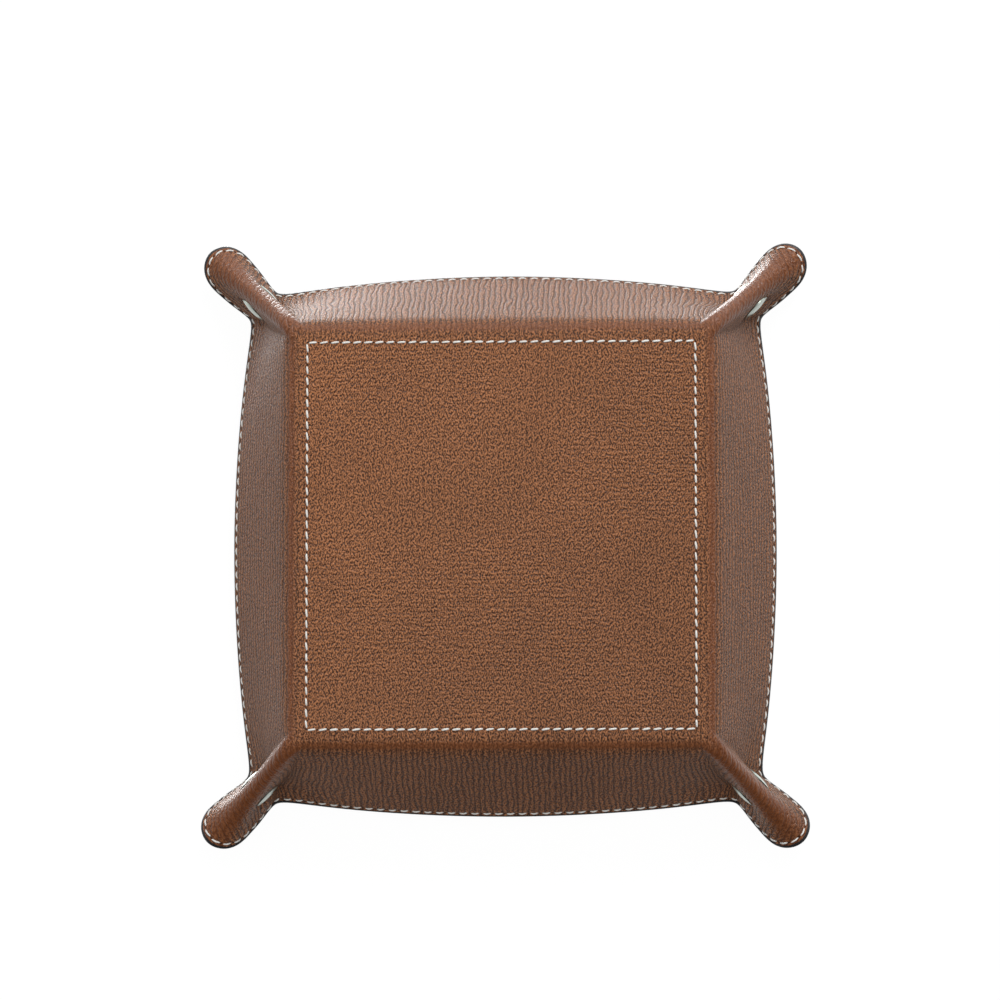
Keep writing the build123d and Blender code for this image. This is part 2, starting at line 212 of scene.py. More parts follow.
def ear_point(column, height, half_ear):
    """A point of an ear, placed on the ridge and then up and out along its flank."""
    back = EAR_SHARES[column] * half_ear
    if height <= 0:
        return Vector((FOLD_HALF + height, FOLD_HALF + height - back, LEATHER))
    aside = back / sqrt(2)
    run = sqrt(2) * height - aside - tip_cut(column, height)
    out, up, slope = ridge(run)
    opened = smooth((run - OPENING_START) / (OPENING_END - OPENING_START))
    upright = radians(90 - LEAN - OPENING * opened)
    turn = min(aside / RIDGE_RADIUS, upright)
    flank = max(0.0, aside - RIDGE_RADIUS * upright)
    across = RIDGE_RADIUS * sin(turn) + flank * cos(upright)
    rise = RIDGE_RADIUS * (1 - cos(turn)) + flank * sin(upright)
    if column == len(EAR_SHARES) - 1:
        beside = EAR_SHARES[-2] * half_ear / sqrt(2) / RIDGE_RADIUS
        rise = -RIDGE_CONTROL_SHARE * RIDGE_RADIUS * (1 - cos(beside))
    spread = max(0.0, (height - SPLAY_START) / (SIDE_SLANT - SPLAY_START))
    across += SPLAY * SPLAY_SHARES[column] * spread
    out += TIP_REACH * REACH_SHARES[column] * spread - rise * sin(slope)
    return from_corner(out, across, up + rise * cos(slope))


def control_row(height):
    """The folded places of one row, and its places on the flat sheet."""
    half_ear = NECK_START + NECK_GROWTH_SHARE * height
    if height <= 0:
        half_ear = NECK_START * (1 + height / NECK_FADE)
    edge = FOLD_HALF + height
    neck = edge - half_ear
    lift = (max(height, 0.0) / SIDE_SLANT) ** 2
    folded = [wall_point(share * neck, height) for share in WALL_SHARES]
    folded[-1] += Vector((WALL_SWELL * lift, 0, 0))
    beside = wall_point(neck - NECK_BACK_SHARE * half_ear, height)
    folded.append(beside + Vector((-NECK_TUCK * lift, NECK_SHIFT * lift, 0)))
    flat = [Vector((edge, share * neck, 0)) for share in WALL_SHARES]
    flat.append(Vector((edge, neck - NECK_BACK_SHARE * half_ear, 0)))
    for column, share in enumerate(EAR_SHARES):
        folded.append(ear_point(column, height, half_ear))
        cut = tip_cut(column, height) / sqrt(2)
        flat.append(Vector((edge - cut, edge - share * half_ear - cut, 0)))
    return [clamped(point) for point in folded], flat


# %% [markdown]
# A cubic spline needs one more row and column past each end. Mirrored columns keep the surface
# smooth across a side's middle and across the ridge, and straight rows end it cleanly at the base
# and at the rim.

# %% Two nets, folded and flat
def padded_net(rows):
    """The net with one more row and column past each end."""
    wide = []
    for row in rows:
        first = Vector((row[1].x, -row[1].y, row[1].z))
        last = Vector((row[-2].y, row[-2].x, row[-2].z))
        wide.append([first] + row + [last])
    below = [a * 2 - b for a, b in zip(wide[0], wide[1])]
    above = [a * 2 - b for a, b in zip(wide[-1], wide[-2])]
    return [below] + wide + [above]


both = [control_row(height) for height in ROWS]
FOLDED = padded_net([folded for folded, flat in both])
FLAT = padded_net([flat for folded, flat in both])
LAST_ROW = len(FOLDED) - 3
LAST_COLUMN = len(FOLDED[0]) - 3
print("net:", LAST_ROW, "rows by", LAST_COLUMN, "columns of cells")


# %% Points and outward directions of the surface
def weights(u):
    """The shares that four neighbouring control points have in a point of a cubic spline."""
    return (
        (1 - u) ** 3 / 6,
        (3 * u**3 - 6 * u**2 + 4) / 6,
        (-3 * u**3 + 3 * u**2 + 3 * u + 1) / 6,
        u**3 / 6,
    )


def on_net(net, row, column):
    """The point of the smooth surface at a row and column, whole or in between."""
    i = min(int(row), len(net) - 4)
    j = min(int(column), len(net[0]) - 4)
    point = Vector((0, 0, 0))
    for a, upward in enumerate(weights(row - i)):
        for b, across in enumerate(weights(column - j)):
            point += net[i + a][j + b] * (upward * across)
    return point


def directions(row, column):
    """Along the side, up the leather, and outward."""
    step = 0.001
    along = on_net(FOLDED, row, column + step) - on_net(FOLDED, row, column - step)
    upward = on_net(FOLDED, row + step, column) - on_net(FOLDED, row - step, column)
    return along.normalized(), upward.normalized(), along.cross(upward).normalized()


# %% [markdown]
# ## The camera
# The tray is seen from below and a little from its front and left, from two metres away with a long
# lens. The turn that the camera needs is written as its own three axes: to the right, up, and back
# from the view.

# %% Camera
TILT, PAN, DISTANCE = 0.100, 0.037, 2.0
right = Vector((-cos(PAN), 0, sin(PAN)))
up = Vector((-sin(PAN) * sin(TILT), cos(TILT), -cos(PAN) * sin(TILT)))
forward = Vector((sin(PAN) * cos(TILT), sin(TILT), cos(PAN) * cos(TILT)))
camera_data = bpy.data.cameras.new("camera")
camera_data.lens = 195.84
camera_data.shift_x = -0.0011
camera_data.shift_y = 0.0348
camera_data.clip_end = 20
camera = bpy.data.objects.new("camera", camera_data)
turn = Matrix((right, up, -forward)).transposed().to_4x4()
camera.matrix_world = Matrix.Translation(forward * -DISTANCE) @ turn
bpy.context.scene.collection.objects.link(camera)
bpy.context.scene.camera = camera
bpy.context.scene.view_settings.view_transform = "Standard"
print("camera at", [round(c, 3) for c in camera.location])

# %% [markdown]
# ## Light
# The picture is lit softly from its top edge, which is the tray's back side. The top wall takes a
# pale veil, the bottom wall stays dark, and nothing has a hard shadow. A large lamp below the tray
# gives that, and the room itself is brighter towards the back than towards the front. A second lamp
# above lights the inside for the views from above.


# %% Lamps
def soft_lamp(name, place, size, power):
    """A round lamp that shines towards the tray."""
    data = bpy.data.lights.new(name, "AREA")
    data.shape = "DISK"
    data.size = size
    data.energy = power
    lamp = bpy.data.objects.new(name, data)
    lamp.location = place
    lamp.rotation_euler = (-Vector(place)).to_track_quat("-Z", "Y").to_euler()
    bpy.context.scene.collection.objects.link(lamp)
    print(name, "gives", power, "watts")


soft_lamp("lamp_below", (-0.45, 1.35, -1.10), size=0.9, power=16)
soft_lamp("lamp_above", (0.6, 0.9, 1.6), size=1.1, power=24)

# %% [markdown]
# The room's light is an even ramp over all directions, so no lamp has to fill the shadows. The
# leather's shine needs a steeper ramp, because a real studio is bright behind the lamp and dim at
# the front. The camera sees plain white instead, which is the picture's background.

# %% Room
def link(tree, a, b):
    tree.links.new(a, b)


world = bpy.data.worlds.new("room")
bpy.context.scene.world = world
world.use_nodes = True
tree = world.node_tree
tree.nodes.clear()
direction = tree.nodes.new("ShaderNodeTexCoord")


def room_ramp(level, along_y, along_z, least):
    """A strength that changes evenly with the direction, and never falls below least."""
    tilt = tree.nodes.new("ShaderNodeVectorMath")
    tilt.operation = "DOT_PRODUCT"
    tilt.inputs[1].default_value = (0, along_y, along_z)
    link(tree, direction.outputs["Generated"], tilt.inputs[0])
    total = tree.nodes.new("ShaderNodeMath")
    total.inputs[1].default_value = level
    link(tree, tilt.outputs["Value"], total.inputs[0])
    floor = tree.nodes.new("ShaderNodeMath")
    floor.operation = "MAXIMUM"
    floor.inputs[1].default_value = least
    link(tree, total.outputs[0], floor.inputs[0])
    light = tree.nodes.new("ShaderNodeBackground")
    link(tree, floor.outputs[0], light.inputs["Strength"])
    return light


def choose(test, where_not, where_so):
    """One light where the test is 0 and another where it is 1."""
    mixed = tree.nodes.new("ShaderNodeMixShader")
    link(tree, test, mixed.inputs[0])
    link(tree, where_not.outputs[0], mixed.inputs[1])
    link(tree, where_so.outputs[0], mixed.inputs[2])
    return mixed


path = tree.nodes.new("ShaderNodeLightPath")
even = room_ramp(level=0.69, along_y=0.20, along_z=-0.34, least=0.05)
steep = room_ramp(level=0.66, along_y=0.90, along_z=0.48, least=0.05)
light = choose(path.outputs["Is Glossy Ray"], even, steep)
white = tree.nodes.new("ShaderNodeBackground")
light = choose(path.outputs["Is Transmission Ray"], light, white)
light = choose(path.outputs["Is Camera Ray"], light, white)
output = tree.nodes.new("ShaderNodeOutputWorld")
link(tree, light.outputs[0], output.inputs["Surface"])
print("room made")

# %% [markdown]
# ## Floors
# A pale floor lies under the tray for the views from above. In the picture the tray lies on its
# rim, so a second pale sheet lies behind it. Each of the two shows only its one face, or it would
# stand in the other's view.


# %% One-sided floors
def pale_sheet(name, height, facing, glow):
    """A sheet that is seen from above (1) or from below (-1), and that partly glows."""
    mesh = bpy.data.meshes.new(name)
    bm = bmesh.new()
    bmesh.ops.create_grid(bm, x_segments=1, y_segments=1, size=2.5)
    bmesh.ops.translate(bm, verts=bm.verts, vec=(0, 0, height))
    if facing < 0:
        bmesh.ops.reverse_faces(bm, faces=bm.faces)
    bm.to_mesh(mesh)
    bm.free()
    floor = bpy.data.objects.new(name, mesh)
    bpy.context.scene.collection.objects.link(floor)
    floor.visible_shadow = False
    floor.visible_diffuse = False
    floor.visible_glossy = False
    material = bpy.data.materials.new(name + "_paper")
    material.use_nodes = True
    tree = material.node_tree
    tree.nodes.clear()
    paper = tree.nodes.new("ShaderNodeBsdfDiffuse")
    paper.inputs["Color"].default_value = (0.92, 0.92, 0.92, 1)
    shine = tree.nodes.new("ShaderNodeEmission")
    shine.inputs["Strength"].default_value = 1.03
    mixed = tree.nodes.new("ShaderNodeMixShader")
    mixed.inputs[0].default_value = glow
    link(tree, paper.outputs[0], mixed.inputs[1])
    link(tree, shine.outputs[0], mixed.inputs[2])
    clear = tree.nodes.new("ShaderNodeBsdfTransparent")
    side = tree.nodes.new("ShaderNodeNewGeometry")
    one_face = tree.nodes.new("ShaderNodeMixShader")
    link(tree, side.outputs["Backfacing"], one_face.inputs[0])
    link(tree, mixed.outputs[0], one_face.inputs[1])
    link(tree, clear.outputs[0], one_face.inputs[2])
    output = tree.nodes.new("ShaderNodeOutputMaterial")
    link(tree, one_face.outputs[0], output.inputs["Surface"])
    mesh.materials.append(material)
    print(name, "at height", height)


pale_sheet("floor", height=-0.0003, facing=1, glow=0.25)
pale_sheet("sheet_behind", height=0.0478, facing=-1, glow=0.93)

# %% [markdown]
# ## Leather
# The photo shows tan leather with two kinds of grain. Fine pebbles, under a millimetre wide, cover
# it all. Thin wavy grooves about two millimetres apart run one way across the whole sheet: up the
# back and front walls, and along the left and right ones. Where the sheet is stretched over a fold
# or a ridge, both are fainter and the leather is glossier and warmer. The pattern could use Object
# coordinates, but these would run straight through the folds, so it reads the attribute "sheet", a
# point's place on the flat sheet. The attribute "stretched" is 1 on the folds.


# %% Helpers for materials
class Finish:
    """A material with one Principled shader and short calls for its nodes."""

    def __init__(self, name):
        self.material = bpy.data.materials.new(name)
        self.material.use_nodes = True
        self.tree = self.material.node_tree
        self.shader = self.tree.nodes["Principled BSDF"]

    def node(self, kind, **settings):
        made = self.tree.nodes.new("ShaderNode" + kind)
        for key, value in settings.items():
            setattr(made, key, value)
        return made

    def feed(self, source, target):
        """Set a socket to a value, or link another node's output to it."""
        if isinstance(source, (int, float, tuple)):
            target.default_value = source
        else:
            self.tree.links.new(source, target)

    def give(self, socket, source):
        self.feed(source, self.shader.inputs[socket])

    def place(self):
        """A point's place on its own piece, which the piece takes along when it moves."""
        return self.node("TexCoord").outputs["Object"]

    def mapped(self, place, scale, shift=(0.0, 0.0, 0.0), turn=(0.0, 0.0, 0.0)):
        made = self.node("Mapping")
        self.feed(place, made.inputs["Vector"])
        self.feed(scale, made.inputs["Scale"])
        self.feed(shift, made.inputs["Location"])
        self.feed(turn, made.inputs["Rotation"])
        return made.outputs[0]

    def math(self, operation, *values):
        made = self.node("Math", operation=operation)
        for value, target in zip(values, made.inputs):
            self.feed(value, target)
        return made.outputs[0]

    def fit(self, value, low, high, to_low, to_high):
        """A value moved from one range into another, and held inside it."""
        made = self.node("MapRange")
        for source, target in zip((value, low, high, to_low, to_high), made.inputs):
            self.feed(source, target)
        return made.outputs[0]

    def blend(self, factor, a, b, how="MIX"):
        made = self.node("Mix", data_type="RGBA", blend_type=how)
        for source, target in zip((factor, a, b), (made.inputs[0], made.inputs[6], made.inputs[7])):
            self.feed(source, target)
        return made.outputs[2]

    def noise(self, place, scale, detail=2.0, rough=0.5):
        made = self.node("TexNoise")
        self.feed(place, made.inputs["Vector"])
        self.feed(scale, made.inputs["Scale"])
        self.feed(detail, made.inputs["Detail"])
        self.feed(rough, made.inputs["Roughness"])
        return made.outputs["Fac"]

    def bump(self, height, strength, distance):
        made = self.node("Bump")
        self.feed(height, made.inputs["Height"])
        self.feed(strength, made.inputs["Strength"])
        self.feed(distance, made.inputs["Distance"])
        self.give("Normal", made.outputs[0])


# %% The leather's finish
def wavy_lines(f, along, sway, pitch):
    """Thin grooves a pitch apart, from 1 between them to 0 in them, pushed to and fro by sway."""
    moved = f.math("MULTIPLY_ADD", sway, 0.0042, along)
    wave = f.math("COSINE", f.math("MULTIPLY", moved, 2 * pi / pitch))
    return f.fit(wave, -1.0, 0.1, 0.0, 1.0)


def leather_finish(name, crown_tone_and_highlight, valley_tone_and_shade, warm, depth):
    """The three colours are those of the pebbles, of their gaps and of stretched leather. The pale
    pebbles carry a painted highlight and the dark gaps painted shade, besides their own tones.

    depth is how deep the grooves are beside the pebbles.
    """
    f = Finish(name)
    sheet = f.node("Attribute", attribute_name="sheet").outputs["Vector"]
    stretched = f.node("Attribute", attribute_name="stretched").outputs["Fac"]
    axes = f.node("SeparateXYZ")
    f.feed(sheet, axes.inputs[0])
    x, y = axes.outputs["X"], axes.outputs["Y"]
    reach = f.math("MAXIMUM", f.math("ABSOLUTE", x), f.math("ABSOLUTE", y))
    # Grooves along Y everywhere, and in patches of the base along X
    sway = f.noise(f.mapped(sheet, (190.0, 95.0, 1.0)), 1.0, 3.0, 0.6)
    columns = wavy_lines(f, x, sway, 0.0020)
    sway = f.noise(f.mapped(sheet, (95.0, 190.0, 1.0), shift=(3.0, 5.0, 0.0)), 1.0, 3.0, 0.6)
    lines = wavy_lines(f, y, sway, 0.0017)
    patches = f.fit(f.noise(sheet, 14.0, 1.0), 0.42, 0.58, 0.0, 1.0)
    patches = f.math("MULTIPLY", patches, f.fit(reach, 0.070, 0.076, 1.0, 0.0))
    groove = f.fit(patches, 0.0, 1.0, columns, lines)
    groove = f.fit(f.fit(reach, 0.070, 0.080, 0.35, 1.0), 0.0, 1.0, 1.0, groove)
    # Fine pebbles, leaning a little
    cells = f.mapped(sheet, (1900.0, 1150.0, 1.0), turn=(0.0, 0.0, 0.6))
    pebble = f.fit(f.noise(cells, 1.0, 1.0, 0.4), 0.38, 0.62, 0.0, 1.0)
    fine = f.noise(sheet, 2600.0, 2.0)
    # One height for the bump, lower where the leather is stretched
    height = f.math("MULTIPLY_ADD", pebble, 0.55, f.math("MULTIPLY", groove, depth))
    height = f.math("MULTIPLY_ADD", fine, 0.25, height)
    f.bump(height, f.fit(stretched, 0.0, 1.0, 1.0, 0.62), 0.00058)
    # Colour: dark in the gaps and grooves and pale on the pebbles, partly the grain's own tones and
    # partly painted shade and painted highlight; warm where it is stretched
    between = f.fit(groove, 0.0, 1.0, 0.35, 1.0)
    level = f.math("MULTIPLY", f.fit(pebble, 0.0, 1.0, 0.12, 1.0), between)
    level = f.fit(f.math("MULTIPLY_ADD", fine, 0.4, level), 0.28, 1.05, 0.0, 1.0)
    grain = f.blend(level, valley_tone_and_shade, crown_tone_and_highlight)
    colour = f.blend(f.math("MULTIPLY", stretched, 0.8), grain, warm)
    # Mottled in large soft patches, and painted light: paler towards the back and right of the base,
    # and faintly so on the walls
    mottle = f.fit(f.noise(sheet, 28.0, 3.0, 0.6), 0.3, 0.7, 0.92, 1.08)
    painted_light_strength = f.fit(reach, 0.070, 0.076, 1.1, 0.2)
    mottle_and_painted_light = f.math("ADD", mottle, f.math("MULTIPLY", f.math("ADD", x, y), painted_light_strength))
    f.give("Base Color", f.blend(1.0, colour, mottle_and_painted_light, how="MULTIPLY"))
    rough = f.math("MULTIPLY_ADD", fine, 0.2, stretched)
    f.give("Roughness", f.fit(rough, 0.0, 1.2, 0.50, 0.30))
    f.give("Specular IOR Level", 0.5)
    f.give("Sheen Weight", 0.08)
    f.give("Sheen Roughness", 0.35)
    f.give("Sheen Tint", (1.0, 0.93, 0.86, 1))
    return f.material


# The pale pebbles are partly painted highlight, and the dark gaps and grooves partly painted shade,
# over the leather's own two tones.
OUTER_FINISH = leather_finish(
    "tan_leather",
    crown_tone_and_highlight=(0.415, 0.157, 0.055, 1),
    valley_tone_and_shade=(0.050, 0.013, 0.003, 1),
    warm=(0.170, 0.045, 0.008, 1),
    depth=0.90,
)
LINING_FINISH = leather_finish(
    "lining_leather",
    crown_tone_and_highlight=(0.330, 0.155, 0.080, 1),
    valley_tone_and_shade=(0.150, 0.060, 0.028, 1),
    warm=(0.240, 0.100, 0.046, 1),
    depth=0.25,
)
print("leather finishes made")

# %% [markdown]
# ## Painted edge, thread and metal
# The cut edge of the two layers is sealed with near-black paint, which dries a little uneven. The
# thread is white waxed cord with a twist. The press studs are nickel plated, with a faint green
# cast in their shine.


# %% Edge paint, thread, and the painted shade of needle holes
def edge_finish():
    f = Finish("edge_paint")
    drips = f.noise(f.place(), 900.0, 3.0)
    f.give("Base Color", f.blend(drips, (0.012, 0.013, 0.015, 1), (0.030, 0.028, 0.030, 1)))
    f.give("Roughness", f.fit(drips, 0.3, 0.7, 0.38, 0.60))
    f.bump(drips, 0.35, 0.0002)
    return f.material


def thread_finish():
    f = Finish("white_thread")
    twist = f.node("TexWave", bands_direction="DIAGONAL")
    f.feed(f.node("Attribute", attribute_name="strand").outputs["Vector"], twist.inputs["Vector"])
    f.feed(1.0, twist.inputs["Scale"])
    f.feed(0.5, twist.inputs["Distortion"])
    ply = twist.outputs["Fac"]
    f.give("Base Color", f.blend(ply, (0.80, 0.77, 0.71, 1), (0.98, 0.97, 0.94, 1)))
    f.bump(ply, 0.5, 0.0001)
    f.give("Roughness", 0.7)
    f.give("Sheen Weight", 0.2)
    return f.material


# A needle hole is a dark oval laid on the leather: painted shade, with flecks that vary it.
def hole_shade_finish():
    f = Finish("needle_hole_shade")
    shade_flecks = f.noise(f.place(), 2000.0)
    f.give("Base Color", f.blend(shade_flecks, (0.020, 0.009, 0.005, 1), (0.045, 0.020, 0.011, 1)))
    f.give("Roughness", 0.9)
    return f.material


# %% Metal and board
def metal_finish(name, dark, pale, smoothest, roughest):
    f = Finish(name)
    place = f.place()
    cloud = f.noise(place, 260.0, 4.0, 0.6)
    f.give("Base Color", f.blend(cloud, dark, pale))
    f.give("Roughness", f.fit(cloud, 0.3, 0.7, smoothest, roughest))
    f.bump(f.noise(place, 3200.0, 2.0), 0.08, 0.00005)
    f.give("Metallic", 1.0)
    return f.material


def board_finish():
    f = Finish("grey_board")
    fibres = f.noise(f.place(), 700.0, 4.0, 0.7)
    f.give("Base Color", f.blend(fibres, (0.20, 0.18, 0.15, 1), (0.36, 0.33, 0.28, 1)))
    f.bump(fibres, 0.3, 0.0002)
    f.give("Roughness", 0.95)
    return f.material


EDGE_FINISH, THREAD_FINISH, HOLE_SHADE_FINISH = edge_finish(), thread_finish(), hole_shade_finish()
CAP_FINISH = metal_finish(
    "nickel_plate", (0.46, 0.52, 0.46, 1), (0.66, 0.72, 0.65, 1), 0.22, 0.34
)
FITTING_FINISH = metal_finish(
    "nickel_fitting", (0.42, 0.43, 0.40, 1), (0.60, 0.61, 0.57, 1), 0.28, 0.42
)
SPRING_FINISH = metal_finish(
    "spring_steel", (0.34, 0.34, 0.34, 1), (0.50, 0.50, 0.50, 1), 0.25, 0.35
)
BOARD_FINISH = board_finish()
for name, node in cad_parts.items():
    finish = FITTING_FINISH
    if name.endswith(("_cap", "_post")):
        finish = CAP_FINISH
    if name.endswith("_spring"):
        finish = SPRING_FINISH
    if name == "base_board":
        finish = BOARD_FINISH
    if not node.material_slots:
        node.data.materials.append(finish)
    for place in node.material_slots:
        place.material = finish
print("finishes given to", len(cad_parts), "packed pieces")

# %% [markdown]
# ## One skin of the folded sheet
# A skin is one face of a layer, such as the outside of the leather. It starts as a flat grid whose
# x is the row and whose y is the column of the net. Each of its points is then moved to its place
# on the folded surface and a little outward or inward from it. The half side is mirrored and turned
# three times, and a grid that matches its lower edge closes the base. Rows lie closer near the rim,
# where the stitches press a groove.
#
# There are four skins, and each is known by its distance outward from the net.

# %% Skins, and the rows and columns of their grids
OUTSIDE, LEATHER_BACK = LEATHER, 0.0
LINING_BACK, INSIDE = -GLUE_LINE, -GLUE_LINE - LINING
OUTWARD_SKINS = (OUTSIDE, LINING_BACK)
STEPS_PER_CELL = 6
RIM_ROW = LAST_ROW - 0.094
NEAR_RIM_ROWS = [6.58, 6.65, 6.70, 6.75, 6.80, 6.85]
COLUMN_STEPS = [k / STEPS_PER_CELL for k in range(STEPS_PER_CELL * LAST_COLUMN + 1)]
ROW_STEPS = [k / STEPS_PER_CELL for k in range(STEPS_PER_CELL * LAST_ROW - 2)]
ROW_STEPS += NEAR_RIM_ROWS + [RIM_ROW]
BASE_LINE = [on_net(FOLDED, 0, column).y for column in COLUMN_STEPS]
BASE_LINE = [y * FLAT_HALF / BASE_LINE[-1] for y in BASE_LINE]
print("grid of half a side:", len(ROW_STEPS), "rows by", len(COLUMN_STEPS), "columns")

# %% [markdown]
# The plates of a press stud are squeezed into the leather, so each skin is pressed flat under its
# plate and comes back up in a soft ring around it.

# %% Seats of the press studs
STUD_PLACE = Vector((1, 1, 0)) * (FOLD_HALF + STUD_OUT / sqrt(2)) + Vector((0, 0, STUD_UP))
STUD_AXIS = Vector((1, -1, 0)).normalized()
OUTER_SEAT = CLAMP_HALF + LEATHER - SEAT_DEPTH
INNER_SEAT = CLAMP_HALF - GLUE_LINE - LINING + SEAT_DEPTH
SKIN_GAP = 0.00003
OUTER_PRESS, OUTER_RING = 0.0082, 0.0020
INNER_PRESS, INNER_RING = 0.0068, 0.0018


def pressed(point, distance):
    """A point of a skin, pressed in under a plate of the press stud."""
    offset = point - STUD_PLACE
    out = offset.dot(STUD_AXIS)
    aside = (offset - STUD_AXIS * out).length
    if out < 0 or distance not in (OUTSIDE, INSIDE):
        return point
    if distance == OUTSIDE:
        hold = smooth((OUTER_PRESS - aside) / OUTER_RING)
        target = min(out, OUTER_SEAT - SKIN_GAP)
    else:
        hold = smooth((INNER_PRESS - aside) / INNER_RING)
        target = max(out, INNER_SEAT + SKIN_GAP)
    return point + STUD_AXIS * ((target - out) * hold)


# %% Stretched leather, over the fold and over the ridges
FOLD_PLACE, FOLD_WIDTH = -0.0006, 0.0014
FOLD_STRETCH = 0.8
RIDGE_WIDTH, RIDGE_SOFTNESS = 0.0050, 0.0026
FOOT_HEIGHT, FOOT_SOFTNESS = -0.004, 0.006
TIP_HEIGHT, TIP_SOFTNESS = 0.043, 0.012
TIP_STRETCH = 0.65


def stretch_at(row, column):
    """How far the leather is stretched smooth at a place of the net, from 0 to 1."""
    flat = on_net(FLAT, row, column)
    height = flat.x - FOLD_HALF
    aside = (flat.x - flat.y) / sqrt(2)
    fold = smooth(1.5 - abs(height - FOLD_PLACE) / FOLD_WIDTH)
    on_ridge = smooth((RIDGE_WIDTH - aside) / RIDGE_SOFTNESS)
    on_ridge *= smooth((height - FOOT_HEIGHT) / FOOT_SOFTNESS)
    on_ridge *= TIP_STRETCH + (1 - TIP_STRETCH) * smooth((TIP_HEIGHT - height) / TIP_SOFTNESS)
    return max(fold * FOLD_STRETCH, on_ridge)


# %% Half a side as a skin
SEAM_INSET = 0.0023
SEAM_DEPTH = 0.00016
SEAM_HALF_WIDTH = 0.0011


def faces_of(verts):
    return list({face for vert in verts for face in vert.link_faces})


def on_mirror_planes(point, j):
    """The first and last column of half a side lie on the planes that it is mirrored in."""
    if j == 0:
        point.y = 0
    if j == len(COLUMN_STEPS) - 1:
        point.x = point.y = (point.x + point.y) / 2
    return point


def half_side(bm, distance, sheet, stretched):
    """A grid of half the +X side, moved outward by distance."""
    rows, columns = len(ROW_STEPS) - 1, len(COLUMN_STEPS) - 1
    made = bmesh.ops.create_grid(bm, x_segments=rows, y_segments=columns, size=0.5)["verts"]
    for vert in made:
        i = round((vert.co.x + 0.5) * rows)
        j = round((vert.co.y + 0.5) * columns)
        row, column = ROW_STEPS[i], COLUMN_STEPS[j]
        point = on_net(FOLDED, row, column)
        shift = distance
        if distance in (OUTSIDE, INSIDE):
            to_rim = (on_net(FOLDED, LAST_ROW, column) - point).length
            groove = max(0.0, 1 - ((to_rim - SEAM_INSET) / SEAM_HALF_WIDTH) ** 2)
            shift -= SEAM_DEPTH * groove * (1 if distance > 0 else -1)
        outward = directions(row, column)[2]
        point = on_mirror_planes(pressed(point + outward * shift, distance), j)
        if i == 0:
            point = Vector((FLAT_HALF, BASE_LINE[j], LEATHER - distance))
        vert.co = point
        vert[sheet] = on_net(FLAT, row, column)
        vert[stretched] = stretch_at(row, column)
    faces = faces_of(made)
    if distance in OUTWARD_SKINS:
        bmesh.ops.reverse_faces(bm, faces=faces)
    return made, faces


# %% Four sides from half a side
def copies(bm, verts, faces):
    """The points and the faces of a second copy."""
    made = bmesh.ops.duplicate(bm, geom=verts + faces)["geom"]
    return (
        [part for part in made if isinstance(part, bmesh.types.BMVert)],
        [part for part in made if isinstance(part, bmesh.types.BMFace)],
    )


def turned_copies(bm, verts, faces, sheet):
    """Mirror half a side and turn the side three times, with its flat-sheet places."""
    mirrored, mirrored_faces = copies(bm, verts, faces)
    bmesh.ops.scale(bm, verts=mirrored, vec=(1, -1, 1))
    bmesh.ops.reverse_faces(bm, faces=mirrored_faces)
    for vert in mirrored:
        flat = vert[sheet]
        vert[sheet] = (flat.x, -flat.y, 0)
    side = verts + mirrored
    everything = list(side)
    for quarter in (1, 2, 3):
        spin = Matrix.Rotation(quarter * pi / 2, 3, "Z")
        turned = copies(bm, side, faces + mirrored_faces)[0]
        bmesh.ops.rotate(bm, verts=turned, matrix=spin)
        for vert in turned:
            vert[sheet] = spin @ vert[sheet]
        everything += turned
    return everything


# %% The base, and a whole skin
PANEL_SLOPE = 0.0016
SAME_POINT = 0.000004


def board_rise(x, y):
    """How far the board lifts the lining: all over it, and rounded down at its edge."""
    past_x = max(0.0, abs(x) - PANEL_HALF + PANEL_RADIUS)
    past_y = max(0.0, abs(y) - PANEL_HALF + PANEL_RADIUS)
    inside = PANEL_RADIUS - Vector((past_x, past_y)).length
    if past_x == 0 or past_y == 0:
        inside = PANEL_HALF - max(abs(x), abs(y))
    return BOARD * sin(smooth(inside / PANEL_SLOPE) * pi / 2)


def base_grid(bm, distance, sheet):
    """The flat base of a skin, whose outer points match the half sides' first row."""
    places = [-y for y in reversed(BASE_LINE[1:])] + [0.0] + BASE_LINE[1:]
    count = len(places) - 1
    made = bmesh.ops.create_grid(bm, x_segments=count, y_segments=count, size=0.5)["verts"]
    for vert in made:
        x = places[round((vert.co.x + 0.5) * count)]
        y = places[round((vert.co.y + 0.5) * count)]
        rise = board_rise(x, y) if distance == INSIDE else 0.0
        vert.co = (x, y, LEATHER - distance + rise)
        vert[sheet] = (x, y, 0)
    if distance in OUTWARD_SKINS:
        bmesh.ops.reverse_faces(bm, faces=faces_of(made))
    return made


def skin(bm, distance, sheet, stretched):
    """A whole skin: four sides and the base, joined where they touch."""
    verts, faces = half_side(bm, distance, sheet, stretched)
    made = turned_copies(bm, verts, faces, sheet) + base_grid(bm, distance, sheet)
    bmesh.ops.remove_doubles(bm, verts=made, dist=SAME_POINT)


# %% [markdown]
# ## Opening an ear
# When a press stud is pulled open, one lip of its ear swings away from the other and bends about the
# ridge. A bend that fades from the moving lip to the resting wall can't be given to the whole sheet
# at once, so the sheet is cut where it starts. Each moving lip is cut in two pieces, a and b, along
# the line where the fade up from the ridge and the fade along the side are equal.

# %% Frames of the four ears
CORNERS = {
    "back_right": (1, 1),
    "back_left": (-1, 1),
    "front_left": (-1, -1),
    "front_right": (1, -1),
}
RIDGE_FADE = (0.0013, 0.0038)
SIDE_FADE = (-0.0270, -0.0078)


